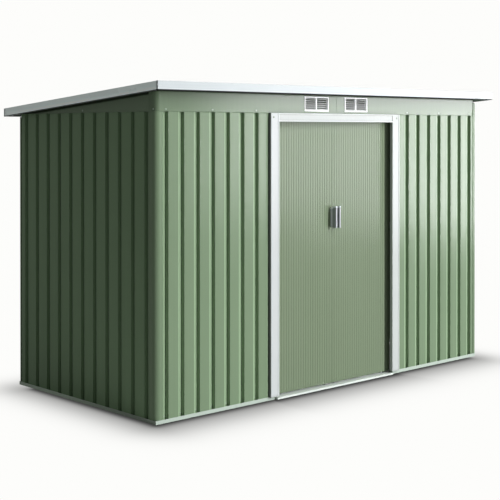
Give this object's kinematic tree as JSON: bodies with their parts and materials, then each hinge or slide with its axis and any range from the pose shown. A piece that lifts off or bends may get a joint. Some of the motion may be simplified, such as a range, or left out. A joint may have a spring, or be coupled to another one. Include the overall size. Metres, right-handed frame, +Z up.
{
  "type": "metal storage shed",
  "caption": "Hollow pent-roof storage shed of corrugated sheet metal with white trims, louvre vents and a pair of ribbed sliding doors that open behind the front walls.",
  "frame": {"origin": "on the ground, at the middle of the roof's outline", "axes": "+X along the front from left to right as one faces the doors, -Y the door side, +Z up"},
  "size_m": [2.77, 1.45, 1.729],
  "materials": {
    "wall_green": "coated green sheet, satin",
    "door_green": "coated green fine-ribbed sheet, satin",
    "trim_white": "coated white trim, satin",
    "rail_white": "coated pale ground rail, satin",
    "vent_white": "moulded white plastic",
    "galvanised": "zinc coated steel with a faint spangle",
    "roller_nylon": "nylon rollers and door guides",
    "handle_silver": "silver-coated pull, satin"
  },
  "bodies": {
    "shed": {"base_rail_front_left": "rail_white", "base_rail_front_right": "rail_white", "base_rail_left": "rail_white", "base_rail_right": "rail_white", "base_rail_back": "rail_white", "door_sill": "rail_white", "front_wall_left": "wall_green", "front_wall_right": "wall_green", "left_wall": "wall_green", "right_wall": "wall_green", "back_wall_left": "wall_green", "back_wall_right": "wall_green", "corner_front_left": "wall_green", "corner_front_right": "wall_green", "corner_back_left": "wall_green", "corner_back_right": "wall_green", "top_rail_left": "galvanised", "top_rail_right": "galvanised", "top_rail_back": "galvanised", "door_track": "galvanised", "front_fascia_left": "wall_green", "front_fascia_right": "wall_green", "gable_left": "wall_green", "gable_right": "wall_green", "back_fascia": "wall_green", "vent_left": "vent_white", "vent_right": "vent_white", "door_jamb_left": "trim_white", "door_jamb_right": "trim_white", "door_header": "trim_white", "roof_sheet_left": "wall_green", "roof_sheet_right": "wall_green", "roof_trim_front": "trim_white", "roof_trim_back": "trim_white", "roof_trim_left": "trim_white", "roof_trim_right": "trim_white", "roof_beam": "galvanised", "wall_brace_left": "galvanised", "wall_brace_right": "galvanised", "wall_brace_back": "galvanised"},
    "left_door": {"left_door_leaf": "door_green", "left_door_frame": "galvanised", "left_door_rollers": "roller_nylon", "left_door_handle": "handle_silver"},
    "right_door": {"right_door_leaf": "door_green", "right_door_frame": "galvanised", "right_door_rollers": "roller_nylon", "right_door_handle": "handle_silver"}
  },
  "joints": [
    {"name": "left_door_slide", "type": "slide", "parent": "shed", "child": "left_door", "axis": [-1, 0, 0], "range_m": [0, 0.41]},
    {"name": "right_door_slide", "type": "slide", "parent": "shed", "child": "right_door", "axis": [1, 0, 0], "range_m": [0, 0.41]}
  ]
}
